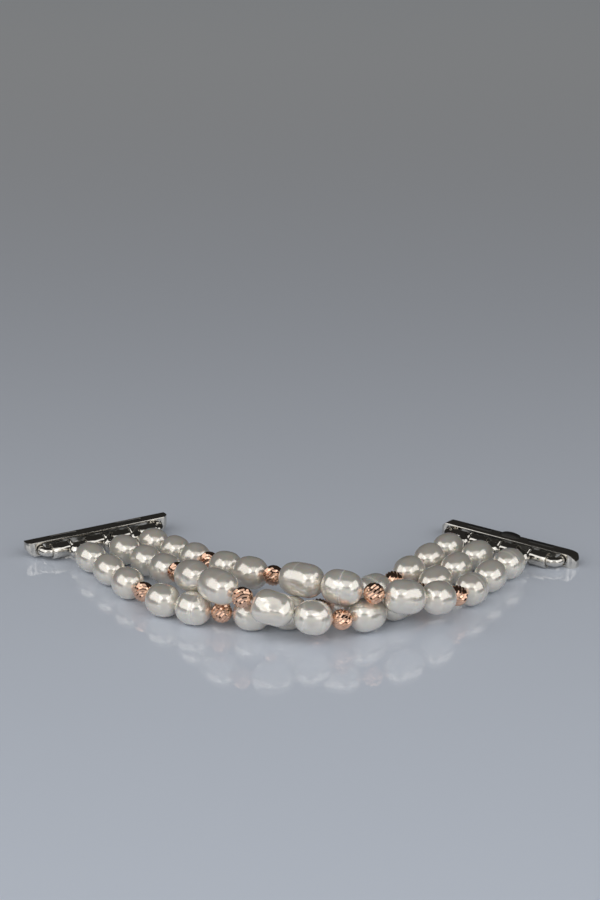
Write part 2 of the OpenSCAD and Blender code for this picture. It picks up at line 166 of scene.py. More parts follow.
# The gold beads: steps from end to end, the depth of one cut from column to column, and how
# fast the cuts deepen away from the ends
BEAD_STEPS = 30
CUT_PROFILE = (0.0, 0.5, 1.0, 0.5)
CUT_FADE = 1.6
BEAD_LEAST_RADIUS = 0.0019
BEAD_SWELL = 0.00009
BEAD_BORE_RADIUS = 0.00042
BEAD_TURN = 0.9

# Steps of a cord inside a piece and across a gap, and how much thicker its knots are
BORE_STEPS = 3
GAP_STEPS = 8
KNOT_SHARE = 2
# Points nearer than this to a cord's last one belong to its knot
KNOT_REACH = 0.0016
# A cord's pieces are put in order round a point this far behind the line between its ends
ARC_DEPTH = 0.012

# Edges sharper than these many degrees stay sharp
PEARL_ANGLE = 50.0
BEAD_ANGLE = 27.0
ROUND_ANGLE = 60.0
EDGE_ANGLE = 35.0
# Faces that meet at less than these many degrees are joined before the edges are broken
FLAT_ANGLE = 0.6
PAD_EDGE_SHARE = 0.7
MERGE_DISTANCE = 1e-6
# Points this near to the end of a turned piece belong to its rim
RIM_DEPTH = 0.00004

TABLE_SIZE = 6.0
# Where the table's painted shade and light change, and where its painted glow starts, in metres
# behind the band's middle
NEAR_TO_MIDDLE = (-0.12, 0.16)
MIDDLE_TO_FAR = (0.10, 0.62)
PAINTED_GLOW_RANGE = (0.15, 0.75)
# The room's colour as light, in reflections and where the camera sees it
WORLD_LIGHT = (0.10, 0.098, 0.094)
WORLD_MIRRORED = (0.025, 0.024, 0.023)
WORLD_SEEN = (0.20, 0.205, 0.215)
# Softboxes: name, setting with the power, degrees round from the front, degrees up, size
LAMPS = (
    ("left_softbox", "left_power", -62.0, 34.0, (0.90, 0.50)),
    ("right_softbox", "right_power", 60.0, 30.0, (0.80, 0.44)),
    ("top_softbox", "top_power", 0.0, 52.0, (0.70, 0.40)),
    ("front_fill", "fill_power", 0.0, 11.0, (1.20, 0.26)),
)
LAMP_DISTANCE = 0.6
# Lens and sensor are in millimetres; the camera looks down by this many degrees
CAMERA_PLACE = (-0.00007, -0.40900, 0.18307)
CAMERA_DOWN = 20.82
CAMERA_LENS = 94.36
CAMERA_SENSOR = 36.0
CAMERA_NEAREST = 0.01


class NacreSettings(bpy.types.PropertyGroup):
    """Looks and fit of the pearls"""

    body_colour: FloatVectorProperty(
        name="Body colour", description="Colour of the nacre", subtype="COLOR", size=3,
        min=0, max=1, default=(0.90, 0.862, 0.785))
    overtone: FloatVectorProperty(
        name="Overtone", description="Rosy colour that some pearls lean to", subtype="COLOR",
        size=3, min=0, max=1, default=(0.90, 0.83, 0.745))
    ring_colour: FloatVectorProperty(
        name="Ring colour", description="Colour of the growth rings", subtype="COLOR", size=3,
        min=0, max=1, default=(0.97, 0.95, 0.91))
    # Grey of the spots that are partly blemishes and partly painted dark reflections
    stain_colour: FloatVectorProperty(
        name="Stain colour", description="Colour of the grey stains_and_reflections", subtype="COLOR", size=3,
        min=0, max=1, default=(0.34, 0.33, 0.31))
    lustre: FloatProperty(
        name="Lustre", description="Share of the light that the nacre mirrors",
        subtype="FACTOR", min=0, max=1, default=0.57)
    roughness: FloatProperty(
        name="Roughness", description="How soft the nacre's reflections are",
        subtype="FACTOR", min=0, max=1, default=0.19)
    lump_height: FloatProperty(
        name="Lump height",
        description="How far a pearl's lumps stand out, as a share of its radius",
        min=0, max=0.1, default=0.017)
    swell: FloatProperty(
        name="Swell", description="How far a pearl's ends reach out over the CAD pearl's",
        unit="LENGTH", min=0, max=0.0002, default=0.00003)
    closing: FloatProperty(
        name="Closing", description="How much farther the ends reach where the cord doesn't bend",
        unit="LENGTH", min=0, max=0.0002, default=0.00014)
    bore_radius: FloatProperty(
        name="Bore radius", description="Radius of the drilled hole", unit="LENGTH",
        min=0.0003, max=0.001, default=0.00042)


class MetalSettings(bpy.types.PropertyGroup):
    """Looks of the metal pieces and the cuts of the beads"""

    steel_colour: FloatVectorProperty(
        name="Steel colour", description="Colour of the polished steel", subtype="COLOR",
        size=3, min=0, max=1, default=(0.74, 0.71, 0.655))
    gold_colour: FloatVectorProperty(
        name="Rose gold colour", description="Colour of the cut beads", subtype="COLOR",
        size=3, min=0, max=1, default=(0.87, 0.555, 0.40))
    steel_roughness: FloatProperty(
        name="Steel roughness", description="How soft the steel's reflections are",
        subtype="FACTOR", min=0, max=1, default=0.09)
    gold_roughness: FloatProperty(
        name="Gold roughness", description="How soft the gold's reflections are",
        subtype="FACTOR", min=0, max=1, default=0.05)
    edge_width: FloatProperty(
        name="Edge width", description="Width of the broken edges", unit="LENGTH",
        min=0.00001, max=0.0002, default=0.00006)
    button_travel: FloatProperty(
        name="Button travel", description="How far a button goes in", unit="LENGTH",
        min=0.0003, max=0.0006, default=0.0005)
    cuts: IntProperty(
        name="Cuts", description="Slanted cuts round a bead", min=8, max=16, default=12)
    cut_depth: FloatProperty(
        name="Cut depth", description="Depth of the slanted cuts", unit="LENGTH",
        min=0.00005, max=0.0004, default=0.0002)
    cut_turn: FloatProperty(
        name="Cut turn", description="How far a cut turns from one end of a bead to the other",
        subtype="ANGLE", min=0, max=math.pi, default=math.radians(140))


class CordSettings(bpy.types.PropertyGroup):
    """Sizes of the elastic cords and of the covers over their knots"""

    radius: FloatProperty(
        name="Cord radius", description="Radius of the elastic cord", unit="LENGTH",
        min=0.0002, max=0.0005, default=0.00035)
    cover_radius: FloatProperty(
        name="Cover radius", description="Outer radius of the knot covers", unit="LENGTH",
        min=0.0013, max=0.0016, default=0.00145)


class StageSettings(bpy.types.PropertyGroup):
    """Colours of the table, with its painted shade, light and glow, and power of the lamps"""

    # The table's colours from blue-grey in front to white far behind are painted shade and light
    near_colour_with_shade: FloatVectorProperty(
        name="Near colour", description="Colour of the table in front of the band",
        subtype="COLOR", size=3, min=0, max=1, default=(0.725, 0.785, 0.89))
    middle_colour_with_shade: FloatVectorProperty(
        name="Middle colour", description="Colour of the table just behind the band",
        subtype="COLOR", size=3, min=0, max=1, default=(0.705, 0.75, 0.835))
    far_colour_with_light: FloatVectorProperty(
        name="Far colour", description="Colour of the table far behind the band",
        subtype="COLOR", size=3, min=0, max=1, default=(1.0, 1.0, 1.0))
    # A painted glow added to the far table, which only the camera sees
    painted_glow_colour: FloatVectorProperty(
        name="Lift colour", description="Colour added to the farthest part of the table",
        subtype="COLOR", size=3, min=0, max=1, default=(0.076, 0.085, 0.096))
    table_roughness: FloatProperty(
        name="Table roughness", description="How soft the table's reflections are",
        subtype="FACTOR", min=0, max=1, default=0.045)
    left_power: FloatProperty(
        name="Left lamp", description="Power of the left softbox", min=0, default=1.57)
    right_power: FloatProperty(
        name="Right lamp", description="Power of the right softbox", min=0, default=1.21)
    top_power: FloatProperty(
        name="Top lamp", description="Power of the small softbox overhead", min=0, default=0.68)
    fill_power: FloatProperty(
        name="Fill", description="Power of the wide dim fill low in front", min=0, default=0.5)


def select_only(*objects):
    """Selects these objects and nothing else; the first one is active"""
    bpy.ops.object.select_all(action="DESELECT")
    for item in objects:
        item.select_set(True)
    bpy.context.view_layer.objects.active = objects[0]


def add_object(name, data):
    """A new object with this data, linked to the scene"""
    item = bpy.data.objects.new(name, data)
    bpy.context.scene.collection.objects.link(item)
    return item


def settle(piece, matrix):
    """Puts a piece's place into its mesh, with its object at the origin"""
    piece.data.transform(matrix @ piece.matrix_world)
    piece.matrix_world = Matrix.Identity(4)


def smooth(piece, degrees):
    """Shades a piece smooth, apart from edges sharper than the angle"""
    select_only(piece)
    bpy.ops.object.shade_smooth_by_angle(angle=math.radians(degrees))


def paint(piece, material):
    piece.data.materials.clear()
    piece.data.materials.append(material)


def dress(piece, body, slot, *nodes):
    """The piece rides on a body and stands for CAD nodes, which it hides; the slot is not used"""
    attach(piece, body)
    if nodes:
        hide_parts(*nodes)


def read_points(mesh):
    """The places of a mesh's vertices, one row each"""
    co = np.zeros(len(mesh.vertices) * 3)
    mesh.vertices.foreach_get("co", co)
    return co.reshape(-1, 3)


def write_points(mesh, co):
    mesh.vertices.foreach_set("co", co.ravel())
    mesh.update()


def solids(node):
    """The separate solids of a CAD node as arrays of points, from left to right"""
    mesh = bmesh.new()
    mesh.from_mesh(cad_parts[node].data)
    bmesh.ops.remove_doubles(mesh, verts=mesh.verts, dist=MERGE_DISTANCE)
    waiting = set(mesh.verts)
    found = []
    while waiting:
        front = [waiting.pop()]
        points = []
        while front:
            vert = front.pop()
            points.append(tuple(vert.co))
            for edge in vert.link_edges:
                other = edge.other_vert(vert)
                if other in waiting:
                    waiting.discard(other)
                    front.append(other)
        found.append(np.array(points))
    mesh.free()
    return sorted(found, key=lambda points: points[:, 0].mean())


class Lie:
    """How a turned piece lies: its centre, its direction, its length and its radius"""

    def __init__(self, points):
        centre = (points.max(0) + points.min(0)) / 2
        values, vectors = np.linalg.eigh(np.cov((points - points.mean(0)).T))
        odd = 0 if values[1] - values[0] > values[2] - values[1] else 2
        axis = vectors[:, odd]
        for _ in range(2):
            along = (points - centre) @ axis
            end = points[along > along.max() - RIM_DEPTH].mean(0)
            start = points[along < along.min() + RIM_DEPTH].mean(0)
            axis = (end - start) / np.linalg.norm(end - start)
            centre = (end + start) / 2
        if axis[0] < 0:
            axis = -axis
        along = (points - centre) @ axis
        away = points - centre - np.outer(along, axis)
        self.axis = Vector(axis)
        self.centre = Vector(centre)
        self.half = float(np.abs(along).max())
        self.radius = float(np.linalg.norm(away, axis=1).max())

    def start(self):
        return self.centre - self.axis * self.half

    def end(self):
        return self.centre + self.axis * self.half

    def matrix(self):
        """Local Z along the piece, local X upwards and local Y towards the front"""
        upward = (Vector((0, 0, 1)) - self.axis * self.axis.z).normalized()
        turn = Matrix((upward, self.axis.cross(upward), self.axis)).transposed().to_4x4()
        return Matrix.Translation(self.centre) @ turn


class Socket:
    """A shader socket that takes part in sums as a number does"""

    def __init__(self, tree, socket):
        self.tree, self.socket = tree, socket

    def sum(self, operation, first, second):
        return self.tree.node("ShaderNodeMath", {"operation": operation}, {0: first, 1: second})

    def __add__(self, other):
        return self.sum("ADD", self, other)

    def __radd__(self, other):
        return self.sum("ADD", other, self)

    def __sub__(self, other):
        return self.sum("SUBTRACT", self, other)

    def __rsub__(self, other):
        return self.sum("SUBTRACT", other, self)

    def __mul__(self, other):
        return self.sum("MULTIPLY", self, other)

    def __rmul__(self, other):
        return self.sum("MULTIPLY", other, self)

    def __truediv__(self, other):
        return self.sum("DIVIDE", self, other)

    def __rtruediv__(self, other):
        return self.sum("DIVIDE", other, self)

    def __pow__(self, other):
        return self.sum("POWER", self, other)

    def above(self, low, high):
        """0 below low, 1 above high, and a smooth rise between them"""
        return self.tree.node(
            "ShaderNodeMapRange", {"interpolation_type": "SMOOTHSTEP"},
            {"Value": self, "From Min": low, "From Max": high, "To Min": 0.0, "To Max": 1.0})


class Tree:
    """The node tree of a material or of the world"""

    # The colour inputs and output of a mix node, whose sockets share their names
    MIX_INPUTS = (6, 7)
    MIX_OUTPUT = 2

    def __init__(self, owner):
        self.owner = owner
        owner.use_nodes = True
        self.tree = owner.node_tree
        self.tree.nodes.clear()

    def node(self, kind, settings=None, values=None, output=0):
        """Makes a node, sets or links its inputs and gives one of its outputs"""
        made = self.tree.nodes.new(kind)
        for key, value in (settings or {}).items():
            setattr(made, key, value)
        for key, value in (values or {}).items():
            if isinstance(value, Socket):
                self.tree.links.new(value.socket, made.inputs[key])
            else:
                made.inputs[key].default_value = value
        return Socket(self, made.outputs[output]) if made.outputs else made

    def place(self):
        return self.node("ShaderNodeTexCoord", output="Object")

    def noise(self, scale, detail, stretch=None):
        """Noise over the object, finer with a larger scale"""
        place = self.place()
        if stretch:
            place = self.node("ShaderNodeMapping", None, {"Vector": place, "Scale": stretch})
        return self.node("ShaderNodeTexNoise", None,
                         {"Vector": place, "Scale": scale, "Detail": detail})

    def mark(self, name):
        """A value that the mesh carries at each of its points"""
        return self.node("ShaderNodeAttribute", {"attribute_name": name}, output="Fac")

    def mix(self, factor, *colours):
        """A mix of two colours, each a socket or three numbers"""
        values = {"Factor": factor}
        for key, colour in zip(self.MIX_INPUTS, colours):
            values[key] = colour if isinstance(colour, Socket) else (*colour, 1.0)
        return self.node("ShaderNodeMix", {"data_type": "RGBA"}, values, self.MIX_OUTPUT)

    def bump(self, height, distance, strength=1.0, under=None):
        values = {"Height": height, "Distance": distance, "Strength": strength}
        if under:
            values["Normal"] = under
        return self.node("ShaderNodeBump", None, values)

    def surface(self, **values):
        """Closes the tree with one shader; an underscore stands for a space in a socket's name"""
        shader = self.node("ShaderNodeBsdfPrincipled", None,
                           {key.replace("_", " "): value for key, value in values.items()})
        self.node("ShaderNodeOutputMaterial", None, {"Surface": shader})
        return self.owner


def new_material(name):
    return Tree(bpy.data.materials.new(name))


def nacre():
    """Warm white nacre: a mirror-like skin over a milky body, with growth rings"""
    settings = bpy.context.scene.band_nacre
    tree = new_material("nacre")
    ring = tree.mark("ring")
    stain = tree.mark("stain")
    tone = tree.noise(scale=150.0, detail=1.0).above(0.35, 0.7)
    cloud = tree.noise(scale=700.0, detail=3.0)
    colour = tree.mix(tone * 0.6, settings.body_colour, settings.overtone)
    colour = tree.mix(ring * 0.8, colour, settings.ring_colour)
    # Grey spots: partly blemishes, partly painted dark reflections, which also mirror less
    colour = tree.mix(stain, colour, settings.stain_colour)
    grain = tree.noise(scale=5200.0, detail=2.0)
    clouded = tree.bump(cloud, distance=0.00004, strength=0.5)
    return tree.surface(
        Base_Color=colour,
        Metallic=settings.lustre * (1.0 - ring * 0.6 - stain * 0.5),
        Roughness=settings.roughness - 0.05 + cloud * 0.10 + ring * 0.16,
        Normal=tree.bump(grain, distance=0.000004, strength=0.6, under=clouded),
        IOR=1.62,
        Coat_Weight=0.15,
        Coat_Roughness=0.12,
        Coat_IOR=1.5,
        Subsurface_Weight=0.3,
        Subsurface_Radius=(1.0, 0.65, 0.40),
        Subsurface_Scale=0.0012,
    )


def polished(name, colour, roughness, wave=0.00001, spread=420.0):
    """Polished metal with the waviness and haze that pressing and handling leave"""
    tree = new_material(name)
    haze = tree.noise(scale=900.0, detail=3.0)
    rub = tree.noise(scale=2600.0, detail=2.0, stretch=(1.0, 1.0, 0.15))
    return tree.surface(
        Base_Color=tree.mix(haze * 0.5, colour, [part * 0.9 for part in colour]),
        Metallic=1.0,
        Roughness=roughness - 0.03 + haze * 0.06 + rub.above(0.55, 0.8) * 0.05,
        Normal=tree.bump(tree.noise(scale=spread, detail=1.0), distance=wave),
    )


def rubber():
    """Black moulded rubber with a fine grain"""
    tree = new_material("black_rubber")
    grain = tree.noise(scale=9000.0, detail=2.0)
    return tree.surface(
        Base_Color=tree.mix(grain, (0.012, 0.012, 0.012), (0.022, 0.021, 0.020)),
        Roughness=0.34 + grain * 0.12,
        Normal=tree.bump(grain, distance=0.000006),
    )


def stretch_cord():
    """Off-white elastic cord"""
    tree = new_material("elastic_cord")
    fibre = tree.noise(scale=6000.0, detail=2.0)
    return tree.surface(
        Base_Color=tree.mix(fibre, (0.80, 0.78, 0.74), (0.66, 0.63, 0.58)),
        Roughness=0.30 + fibre * 0.2,
        Normal=tree.bump(fibre, distance=0.00001),
    )


def steel(name, **waviness):
    """Polished steel with the settings' colour and roughness"""
    metal = bpy.context.scene.band_metal
    return polished(name, metal.steel_colour, metal.steel_roughness, **waviness)


def rose_gold():
    metal = bpy.context.scene.band_metal
    return polished("rose_gold", metal.gold_colour, metal.gold_roughness)


MAKERS = {
    "nacre": nacre,
    "rose_gold": rose_gold,
    "polished_steel": lambda: steel("polished_steel"),
    "pressed_steel": lambda: steel("pressed_steel", wave=0.00025, spread=1100.0),
    "spring_steel": lambda: polished("spring_steel", (0.45, 0.45, 0.46), 0.25),
    "black_rubber": rubber,
    "elastic_cord": stretch_cord,
}
FINISHES = {}


def finish_of(name):
    """A material by its name, made once"""
    if name not in FINISHES:
        FINISHES[name] = MAKERS[name]()
    return FINISHES[name]


def group_node(cord, group):
    return f"pearl_{cord}_" + "_".join(str(number) for number in group)


def pearl_lies():
    """How every pearl lies, by cord and number"""
    lies = {}
    for cord in CORDS:
        for group, _ in PEARL_GROUPS:
            for number, points in zip(group, solids(group_node(cord, group))):
                lies[cord, number] = Lie(points)
    return lies


def bead_lies(cord):
    """How the gold beads of a cord lie, from left to right"""
    return [Lie(points) for points in solids(f"metal_beads_{cord}")]


def drilled_ball():
    """A ball with a hole drilled from pole to pole, both ends open to it"""
    bpy.ops.object.select_all(action="DESELECT")
    bpy.ops.mesh.primitive_uv_sphere_add(
        segments=BALL_SEGMENTS, ring_count=BALL_RINGS, radius=1.0)
    ball = bpy.context.active_object
    bpy.ops.object.mode_set(mode="EDIT")
    bpy.ops.mesh.select_mode(type="FACE")
    bpy.ops.mesh.select_all(action="DESELECT")
    mesh = bmesh.from_edit_mesh(ball.data)
    polar = math.sin(math.pi / BALL_RINGS) * 0.9
    for face in mesh.faces:
        face.select_set(face.calc_center_median().xy.length < polar)
    bmesh.update_edit_mesh(ball.data)
    bpy.ops.mesh.delete(type="FACE")
    bpy.ops.mesh.select_mode(type="EDGE")
    bpy.ops.mesh.select_all(action="DESELECT")
    bpy.ops.mesh.select_non_manifold()
    bpy.ops.mesh.bridge_edge_loops()
    bpy.ops.object.mode_set(mode="OBJECT")
    return ball


class Growth:
    """How one pearl grew: its rings, grey spots, lumps and outline, from its cord and number; the
    grey spots are partly painted dark reflections
    """

    def __init__(self, cord, number, lie):
        settings = bpy.context.scene.band_nacre
        key = cord, number
        bends = number - 1 in STUBS, number in STUBS
        usual = BLUNT_BY_A_BEND if any(bends) else BLUNT_IN_THE_MIDDLE
        self.seed = CORDS.index(cord) * CORD_SEED + number * PEARL_SEED
        self.rings = RINGS.get(key, ())
        self.stains_and_reflections = DARK_REFLECTIONS_AND_STAINS.get(key, ())
        self.bumps = settings.lump_height * LUMPY.get(key, 1.0)
        self.sided = SIDED.get(key, 0.0)
        self.blunt = BLUNT.get(key, usual)
        self.taper = TAPERS[(number + CORDS.index(cord)) % len(TAPERS)]
        self.radius = lie.radius
        self.bore = settings.bore_radius
        self.low, self.high = (
            lie.half + settings.swell + (0.0 if bend else settings.closing) for bend in bends)

    def ring(self, spot, place, angle):
        """How deep the growth rings are here, and how white they show"""
        seed = self.seed
        groove = shown = 0.0
        for middle, depth, width, white in self.rings:
            wander = 0.05 * math.sin(angle + seed)
            wander += 0.03 * noise.noise(spot * 2.2 + Vector((0, 0, seed)))
            part = math.exp(-(((place - middle + wander) / width) ** 2))
            partial = 0.8 + 0.2 * math.sin(angle + seed * 1.7 + middle * 5)
            groove += depth * part * partial
            shown = max(shown, white * part * partial)
        return groove, shown

    def stain(self, spot, place, angle):
        """How strongly the grey spots show here, which are partly blemishes and partly painted
        dark reflections
        """
        shown = 0.0
        for middle, degrees, size, strength in self.stains_and_reflections:
            away = (angle - math.radians(degrees) + math.pi) % (2 * math.pi) - math.pi
            spread = ((place - middle) ** 2 + (0.7 * away) ** 2) / size ** 2
            rough = 0.7 + 0.5 * noise.noise(spot * 5.0 + Vector((self.seed, self.seed, 0)))
            shown = max(shown, strength * rough * math.exp(-spread))
        return shown

    def flank(self, spot, place, angle, groove):
        """How far the skin is from the pearl's axis here"""
        bumps = self.bumps
        lump = noise.noise(spot * 1.5 + Vector((self.seed, 0, 0)))
        lump += 0.4 * noise.noise(spot * 3.4 + Vector((0, self.seed, 0)))
        flank = self.radius * (1 - abs(place) ** self.blunt) ** 0.5 if abs(place) < 1 else 0.0
        flank *= (1 + self.taper * place) * (1 - groove + bumps * lump - bumps * 0.4)
        flank *= 1 + self.sided * (math.cos(3 * angle + 1.5 * place + 0.6) - 0.4)
        return max(flank, self.bore * SKIN_SHARE)


def shape_pearl(mesh, growth):
    """Turns a drilled ball into one grown pearl, and marks its rings and its grey spots, which
    are partly painted dark reflections
    """
    co = read_points(mesh)
    shown, stain_and_reflection_shown = np.zeros(len(co)), np.zeros(len(co))
    for i, (x, y, z) in enumerate(co):
        angle = math.atan2(y, x)
        half = growth.high if z > 0 else growth.low
        if math.hypot(x, y) < BALL_RIM:
            co[i] = (growth.bore * math.cos(angle), growth.bore * math.sin(angle),
                     math.copysign(half * MOUTH_SHARE, z))
            continue
        spot = Vector((x, y, z))
        place = max(-1.0, min(1.0, z / BALL_HEIGHT))
        groove, shown[i] = growth.ring(spot, place, angle)
        stain_and_reflection_shown[i] = growth.stain(spot, place, angle)
        flank = growth.flank(spot, place, angle, groove)
        co[i] = (flank * math.cos(angle), flank * math.sin(angle),
                 half * place * (1 - 0.3 * growth.bumps))
    for name, values in (("ring", shown), ("stain", stain_and_reflection_shown)):
        layer = mesh.attributes.new(name, "FLOAT", "POINT")
        layer.data.foreach_set("value", values.astype(np.float32))
    write_points(mesh, co)


class BAND_OT_pearls(bpy.types.Operator):
    """Grows the thirty-six pearls where the frame's pearls lie"""

    bl_idname = "band.pearls"
    bl_label = "Pearls"

    def execute(self, context):
        master = drilled_ball()
        lies = pearl_lies()
        for cord in CORDS:
            for group, body in PEARL_GROUPS:
                for number in group:
                    lie = lies[cord, number]
                    piece = add_object(f"{cord}_pearl_{number:02d}", master.data.copy())
                    shape_pearl(piece.data, Growth(cord, number, lie))
                    settle(piece, lie.matrix())
                    smooth(piece, PEARL_ANGLE)
                    paint(piece, finish_of("nacre"))
                    dress(piece, body, "nacre", group_node(cord, group))
        bpy.data.objects.remove(master)
        return {"FINISHED"}


def cut_bead(radius, half):
    """A bead lofted upwards ring by ring, its cuts turning as they rise"""
    metal = bpy.context.scene.band_metal
    around = metal.cuts * len(CUT_PROFILE)
    bpy.ops.object.select_all(action="DESELECT")
    bpy.ops.mesh.primitive_circle_add(vertices=around, radius=1.0, fill_type="NOTHING")
    bead = bpy.context.active_object
    bpy.ops.object.mode_set(mode="EDIT")
    bpy.ops.mesh.select_all(action="SELECT")
    for _ in range(BEAD_STEPS):
        bpy.ops.mesh.extrude_region_move(TRANSFORM_OT_translate={"value": (0, 0, 1)})
    bpy.ops.object.mode_set(mode="OBJECT")
    end_angle = math.asin(half / radius)
    co = read_points(bead.data)
    for i, (x, y, level) in enumerate(co):
        rise = -end_angle + 2 * end_angle * level / BEAD_STEPS
        column = round(math.atan2(y, x) / (2 * math.pi) * around) % around
        angle = 2 * math.pi * column / around - metal.cut_turn * math.sin(rise) / 2
        share = CUT_PROFILE[column % len(CUT_PROFILE)]
        depth = metal.cut_depth * share * min(1.0, math.cos(rise) * CUT_FADE)
        reach = (radius - depth) * math.cos(rise)
        co[i] = (reach * math.cos(angle), reach * math.sin(angle), radius * math.sin(rise))
    write_points(bead.data, co)
    return bead


def close_bead(bead, bore, half):
    """Flat ends with a drilled hole through the bead"""
    select_only(bead)
    bpy.ops.object.mode_set(mode="EDIT")
    bpy.ops.mesh.select_mode(type="EDGE")
    bpy.ops.mesh.select_all(action="DESELECT")
    bpy.ops.mesh.select_non_manifold()
    bpy.ops.mesh.extrude_region_move(TRANSFORM_OT_translate={"value": (0, 0, 0)})
    bpy.ops.object.mode_set(mode="OBJECT")
    for vert in bead.data.vertices:
        if vert.select:
            flat = Vector((vert.co.x, vert.co.y, 0)).normalized() * bore
            vert.co = (flat.x, flat.y, math.copysign(half, vert.co.z))
    bpy.ops.object.mode_set(mode="EDIT")
    bpy.ops.mesh.bridge_edge_loops()
    bpy.ops.mesh.select_all(action="SELECT")
    bpy.ops.mesh.normals_make_consistent(inside=False)
    bpy.ops.object.mode_set(mode="OBJECT")
    return bead


class BAND_OT_metal_beads(bpy.types.Operator):
    """Cuts one rose-gold bead and strings twelve copies of it"""

    bl_idname = "band.metal_beads"
    bl_label = "Metal beads"

    def execute(self, context):
        first = bead_lies(CORDS[0])[0]
        radius, half = max(first.radius, BEAD_LEAST_RADIUS), first.half + BEAD_SWELL
        master = close_bead(cut_bead(radius, half), BEAD_BORE_RADIUS, half)
        smooth(master, BEAD_ANGLE)
        for cord in CORDS:
            for number, lie in enumerate(bead_lies(cord), start=1):
                piece = add_object(f"{cord}_metal_bead_{number}", master.data.copy())
                turn = Matrix.Rotation(BEAD_TURN * number + CORDS.index(cord), 4, "Z")
                settle(piece, lie.matrix() @ turn)
                paint(piece, finish_of("rose_gold"))
                dress(piece, "strands", "rose_gold", f"metal_beads_{cord}")
        bpy.data.objects.remove(master)
        return {"FINISHED"}


def tube(name, points, radii):
    """A round cord through the points, as a closed mesh"""
    curve = bpy.data.curves.new(name, "CURVE")
    curve.dimensions = "3D"
    curve.bevel_depth = 1.0
    curve.bevel_resolution = 4
    curve.use_fill_caps = True
    spline = curve.splines.new("POLY")
    spline.points.add(len(points) - 1)
    for point, place, radius in zip(spline.points, points, radii):
        point.co = (*place, 1.0)
        point.radius = radius
    piece = add_object(name, curve)
    select_only(piece)
    bpy.ops.object.convert(target="MESH")
    smooth(piece, ROUND_ANGLE)
    paint(piece, finish_of("elastic_cord"))
    return piece


def between(first, last, steps):
    """Evenly spaced points from the first to the last, with both of them"""
    return [first.lerp(last, i / steps) for i in range(steps + 1)]


def along_band(lie, pearls, cord):
    """A piece's place in the order from the left end of its cord to the right"""
    ends = pearls[cord, 1].centre, pearls[cord, PEARL_COUNT].centre
    middle = (ends[0] + ends[1]) / 2 + Vector((0, ARC_DEPTH, 0))
    away = lie.centre - middle
    return math.atan2(away.y, away.x) % (2 * math.pi)


def middle_path(pieces):
    """A cord's course through the stiff middle, from its first piece's centre to its last's"""
    first, *inner, last = pieces
    points = [first.centre, *between(first.start(), first.end(), BORE_STEPS)[2:]]
    for lie in inner:
        points += between(lie.start(), lie.end(), BORE_STEPS)
    return points + between(last.start(), last.end(), BORE_STEPS)[:2] + [last.centre]


def cord_stub(name, node, first, last, radius):
    """A stretch of cord between two pieces' bores, across the gap between them"""
    points = between(first.centre, first.end(), BORE_STEPS)
    points += between(first.end(), last.start(), GAP_STEPS)[1:]
    points += between(last.start(), last.centre, BORE_STEPS)[1:]
    piece = tube(name, points, [radius] * len(points))
    tuple(first.end())
    tuple(last.start())
    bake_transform(piece)
    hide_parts(node)


def knot_centre(cord, at_right):
    """Where the cord's knot sits in its cover at one end"""
    points = solids(f"cord_{cord}")[0]
    end = points[points[:, 0].argmax() if at_right else points[:, 0].argmin()]
    near = points[np.linalg.norm(points - end, axis=1) < KNOT_REACH]
    return Vector((near.max(0) + near.min(0)) / 2)


def knot_path(centre, toward, radius):
    """Points and radii of a round knot that faces along the cord"""
    way = (toward - centre).normalized()
    steps = [math.sin(math.radians(angle)) for angle in range(-75, 76, 15)]
    points = [centre + way * radius * step for step in steps]
    radii = [radius * math.sqrt(1 - step * step) for step in steps]
    return points, radii


class Knot:
    """The knot at one end of a cord, with the same two ends as a piece on it"""

    def __init__(self, centre, reach, towards):
        self.centre = centre
        self.reach = reach * (towards - centre).normalized()

    def start(self):
        return self.centre + self.reach

    end = start


class BAND_OT_cords(bpy.types.Operator):
    """Threads the elastic cords, with a stretch across each place where the band bends"""

    bl_idname = "band.cords"
    bl_label = "Elastic cords"

    def execute(self, context):
        radius = context.scene.band_cord.radius
        reach = context.scene.band_cord.cover_radius
        pearls = pearl_lies()
        for cord in CORDS:
            node = f"cord_{cord}"
            pieces = [pearls[cord, number] for number in MIDDLE_PEARLS] + bead_lies(cord)
            pieces.sort(key=lambda lie: along_band(lie, pearls, cord))
            points = middle_path(pieces)
            middle = tube(f"{node}_middle", points, [radius] * len(points))
            dress(middle, "strands", "elastic_cord", node)

            chain = {number: pearls[cord, number] for number in END_PEARLS}
            toward = {"left": chain[1].start(), "right": chain[PEARL_COUNT].end()}
            centres = {side: knot_centre(cord, side == "right") for side in SIDES}
            chain[0] = Knot(centres["left"], reach, toward["left"])
            chain[PEARL_COUNT + 1] = Knot(centres["right"], reach, toward["right"])
            for number, bodies in STUBS.items():
                cord_stub(f"{node}_stub_{number:02d}", node, chain[number], chain[number + 1],
                          radius)
            for side in SIDES:
                path = knot_path(centres[side], toward[side], KNOT_SHARE * radius)
                knot = tube(f"{node}_{side}_knot", *path)
                dress(knot, f"{side}_hooks", "elastic_cord", node)
        return {"FINISHED"}


def merged(node):
    """A copy of a CAD node with its loose triangles joined"""
    piece = add_object(f"{node}_piece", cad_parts[node].data.copy())
    select_only(piece)
    bpy.ops.object.mode_set(mode="EDIT")
    bpy.ops.mesh.select_all(action="SELECT")
    bpy.ops.mesh.remove_doubles(threshold=MERGE_DISTANCE)
    bpy.ops.mesh.customdata_custom_splitnormals_clear()
    bpy.ops.object.mode_set(mode="OBJECT")
    return piece


